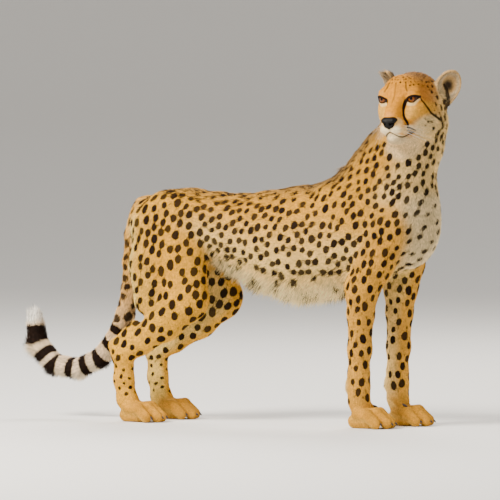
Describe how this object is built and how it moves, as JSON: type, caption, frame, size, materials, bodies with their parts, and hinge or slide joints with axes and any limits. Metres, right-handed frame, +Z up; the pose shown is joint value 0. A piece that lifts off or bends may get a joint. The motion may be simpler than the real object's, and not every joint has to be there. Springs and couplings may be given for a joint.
{
  "type": "cheetah",
  "caption": "Life-size still cheetah, standing on four level paws, head turned to its right over the shoulder, with a spotted golden coat and a ringed tail curled up at its tip.",
  "frame": {"origin": "on the floor, under the middle of the box round the whole animal", "axes": "+X runs from the tail to the chest, +Y to the animal's left, +Z up; the head looks along -Y"},
  "size_m": [1.3458, 0.2986, 1.0033],
  "materials": {
    "coat": "short dense fur, golden with black spots, white below",
    "nose_leather": "fine-grained, satin black",
    "eye": "wet gloss, amber",
    "claw": "smooth dark horn"
  },
  "bodies": {
    "root": {"trunk": "coat", "neck": "coat", "head": "coat", "tail_root": "coat", "tail_middle": "coat", "tail_lower": "coat", "tail_tip": "coat", "ear_right": "coat", "foreleg_right": "coat", "forepaw_right": "coat", "thigh_right": "coat", "shank_right": "coat", "hindpaw_right": "coat", "ear_left": "coat", "foreleg_left": "coat", "forepaw_left": "coat", "thigh_left": "coat", "shank_left": "coat", "hindpaw_left": "coat", "nose": "nose_leather", "eye_right": "eye", "eye_left": "eye", "claw_forepaw_right_1": "claw", "claw_forepaw_right_2": "claw", "claw_forepaw_right_3": "claw", "claw_forepaw_right_4": "claw", "claw_forepaw_right_5": "claw", "claw_hindpaw_right_1": "claw", "claw_hindpaw_right_2": "claw", "claw_hindpaw_right_3": "claw", "claw_hindpaw_right_4": "claw", "claw_forepaw_left_1": "claw", "claw_forepaw_left_2": "claw", "claw_forepaw_left_3": "claw", "claw_forepaw_left_4": "claw", "claw_forepaw_left_5": "claw", "claw_hindpaw_left_1": "claw", "claw_hindpaw_left_2": "claw", "claw_hindpaw_left_3": "claw", "claw_hindpaw_left_4": "claw"}
  },
  "joints": []
}
